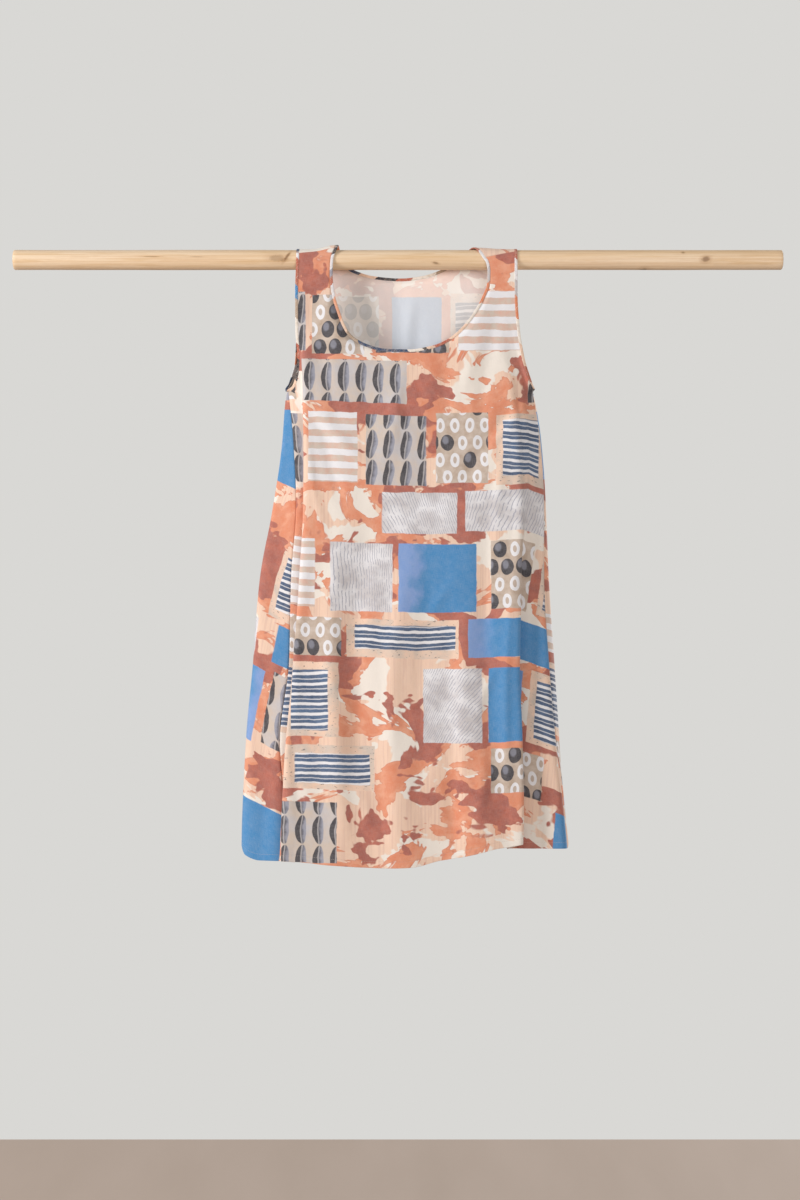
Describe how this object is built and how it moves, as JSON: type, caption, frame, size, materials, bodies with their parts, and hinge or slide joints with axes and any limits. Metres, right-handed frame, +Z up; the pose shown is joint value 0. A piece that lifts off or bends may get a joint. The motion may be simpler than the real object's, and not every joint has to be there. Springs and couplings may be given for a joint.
{
  "type": "midi dress on a wooden rod",
  "caption": "Sleeveless scoop-neck A-line midi dress of thin printed cloth, hung by its shoulder straps over a plain round wooden rod, with bound neck and armholes.",
  "frame": {"origin": "middle of the rod's axis, where the rod is held up", "axes": "+X to the right along the rod as seen from the front of the dress, +Y from the front to the back, +Z up"},
  "size_m": [1.344, 0.0821, 1.0872],
  "materials": {
    "cloth": "thin woven cloth with an all-over patchwork print, paler on the inside, soft low sheen",
    "binding": "narrow bias binding cut from the same printed cloth",
    "rod": "plain sanded pale pine with fine grain and a few small knots"
  },
  "bodies": {
    "root": {"rod": "rod", "front_panel": "cloth", "back_panel": "cloth", "neck_binding": "binding", "left_armhole_binding": "binding", "right_armhole_binding": "binding"}
  },
  "joints": []
}
